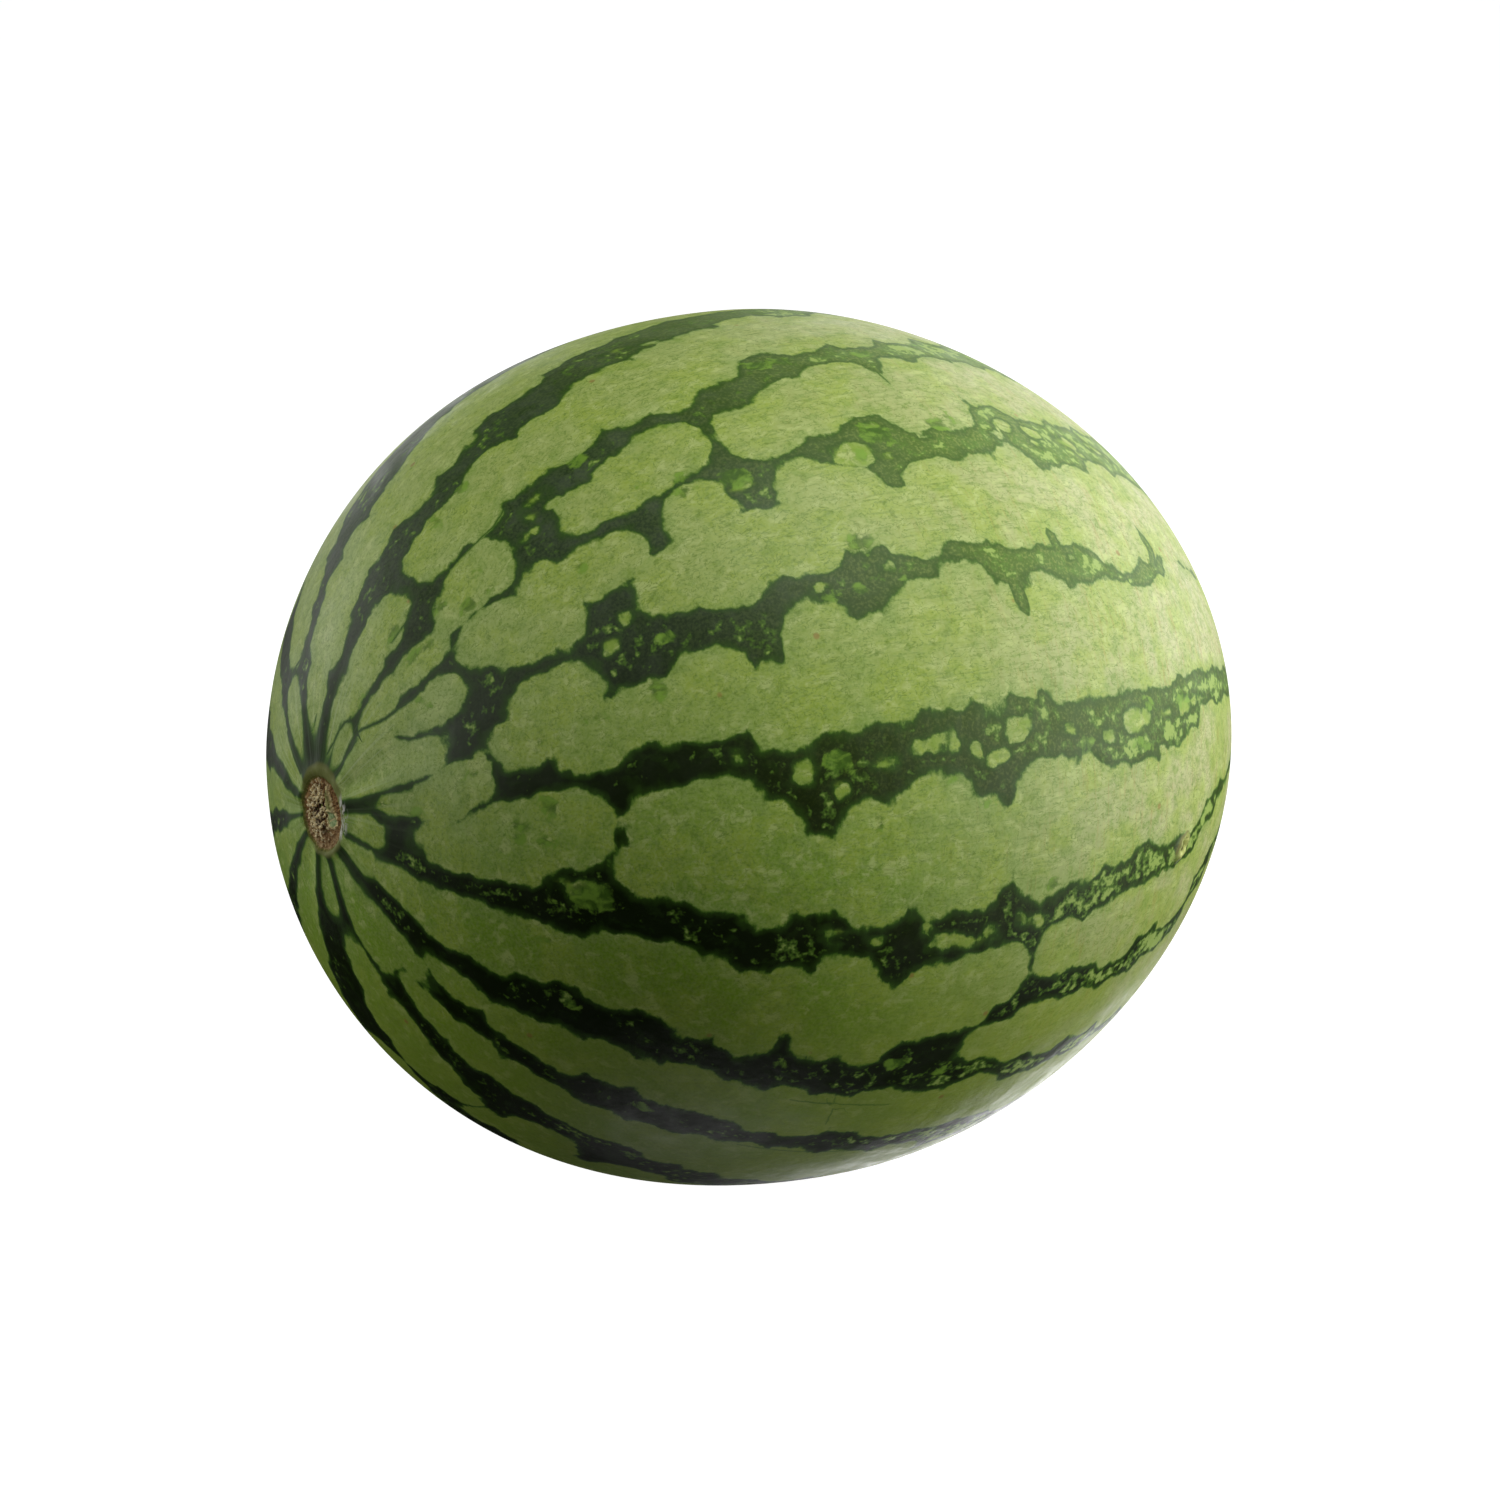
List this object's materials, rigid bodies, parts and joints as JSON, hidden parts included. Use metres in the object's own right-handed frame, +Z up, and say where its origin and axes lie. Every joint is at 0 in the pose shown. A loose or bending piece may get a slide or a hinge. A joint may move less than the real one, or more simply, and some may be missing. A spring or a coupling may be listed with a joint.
{
  "type": "watermelon",
  "caption": "Whole oval striped watermelon with its corky stem scar, lying on its side on a small flat spot.",
  "frame": {"origin": "centre of the bounding box's bottom face, on the flat spot that the fruit rests on", "axes": "+X along the fruit's long axis from the stem scar to the blossom end, +Z up, -Y towards the side seen in the picture"},
  "size_m": [0.2536, 0.22, 0.2184],
  "materials": {
    "rind": "smooth waxy rind with dark green stripes on pale green"
  },
  "bodies": {
    "root": {"watermelon": "rind"}
  },
  "joints": []
}
